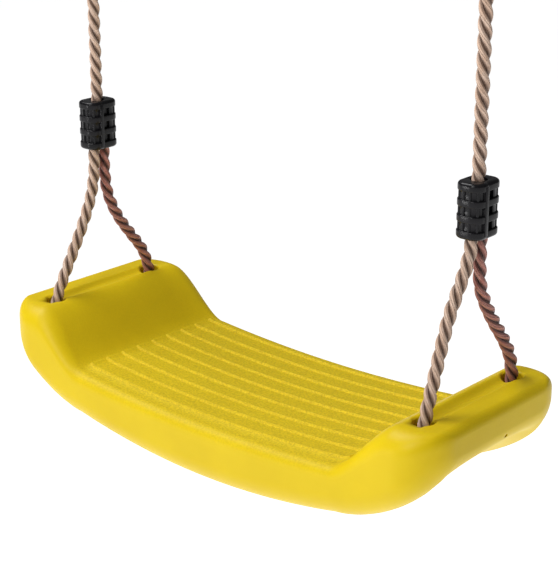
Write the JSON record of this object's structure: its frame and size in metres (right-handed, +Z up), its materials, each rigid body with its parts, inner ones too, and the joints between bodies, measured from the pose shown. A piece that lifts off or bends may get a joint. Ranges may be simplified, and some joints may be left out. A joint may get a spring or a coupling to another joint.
{
  "type": "swing seat",
  "caption": "Hollow moulded child's swing seat with raised ends and anti-slip steps, hung from twisted ropes forked by two-shell clamps, with thimble eyes at the top.",
  "frame": {"origin": "On the hang line, midway between the middles of the two thimbles", "axes": "+X runs along the seat to the right, -Y is the front of the seat, +Z is up"},
  "size_m": [0.436, 0.176, 0.5068],
  "materials": {
    "seat_plastic": "yellow moulded polyethylene, satin, fine grain on the sitting surface",
    "rope": "three-strand twisted rope, tan",
    "clamp_plastic": "black moulded plastic, glossy",
    "thimble_plastic": "black moulded plastic, satin"
  },
  "bodies": {
    "hangers": {"thimble_left": "thimble_plastic", "thimble_right": "thimble_plastic"},
    "eye_left": {"eye_rope_left": "rope", "eye_clamp_front_left": "clamp_plastic", "eye_clamp_rear_left": "clamp_plastic"},
    "eye_right": {"eye_rope_right": "rope", "eye_clamp_front_right": "clamp_plastic", "eye_clamp_rear_right": "clamp_plastic"},
    "rope_left": {"main_rope_left": "rope"},
    "rope_right": {"main_rope_right": "rope"},
    "clamp_left": {"fork_clamp_front_left": "clamp_plastic", "fork_clamp_rear_left": "clamp_plastic"},
    "clamp_right": {"fork_clamp_front_right": "clamp_plastic", "fork_clamp_rear_right": "clamp_plastic"},
    "seat": {"seat_shell": "seat_plastic", "fork_rope_left": "rope", "fork_rope_right": "rope"}
  },
  "joints": [
    {"name": "swing", "type": "hinge", "parent": "hangers", "child": "eye_left", "pos_m": [-0.19, 0, 0], "axis": [1, 0, 0], "range_deg": [-45, 45]},
    {"name": "sway", "type": "hinge", "parent": "eye_left", "child": "rope_left", "pos_m": [-0.19, 0, -0.08], "axis": [0, 1, 0], "range_deg": [-10, 10]},
    {"name": "level_left", "type": "hinge", "parent": "rope_left", "child": "clamp_left", "pos_m": [-0.19, 0, -0.2255], "axis": [0, 1, 0], "range_deg": [-10, 10]},
    {"name": "seat_tilt", "type": "hinge", "parent": "clamp_left", "child": "seat", "pos_m": [-0.19, 0, -0.2655], "axis": [1, 0, 0], "range_deg": [-20, 20]},
    {"name": "swing_right", "type": "hinge", "parent": "hangers", "child": "eye_right", "pos_m": [0.19, 0, 0], "axis": [1, 0, 0], "range_deg": [-45, 45]},
    {"name": "sway_right", "type": "hinge", "parent": "eye_right", "child": "rope_right", "pos_m": [0.19, 0, -0.08], "axis": [0, 1, 0], "range_deg": [-10, 10]},
    {"name": "level_right", "type": "hinge", "parent": "rope_right", "child": "clamp_right", "pos_m": [0.19, 0, -0.2255], "axis": [0, 1, 0], "range_deg": [-10, 10]}
  ],
  "couplings": [
    {"joint": "level_left", "follows": "sway", "ratio": -1},
    {"joint": "swing_right", "follows": "swing", "ratio": 1},
    {"joint": "sway_right", "follows": "sway", "ratio": 1},
    {"joint": "level_right", "follows": "sway", "ratio": -1}
  ]
}
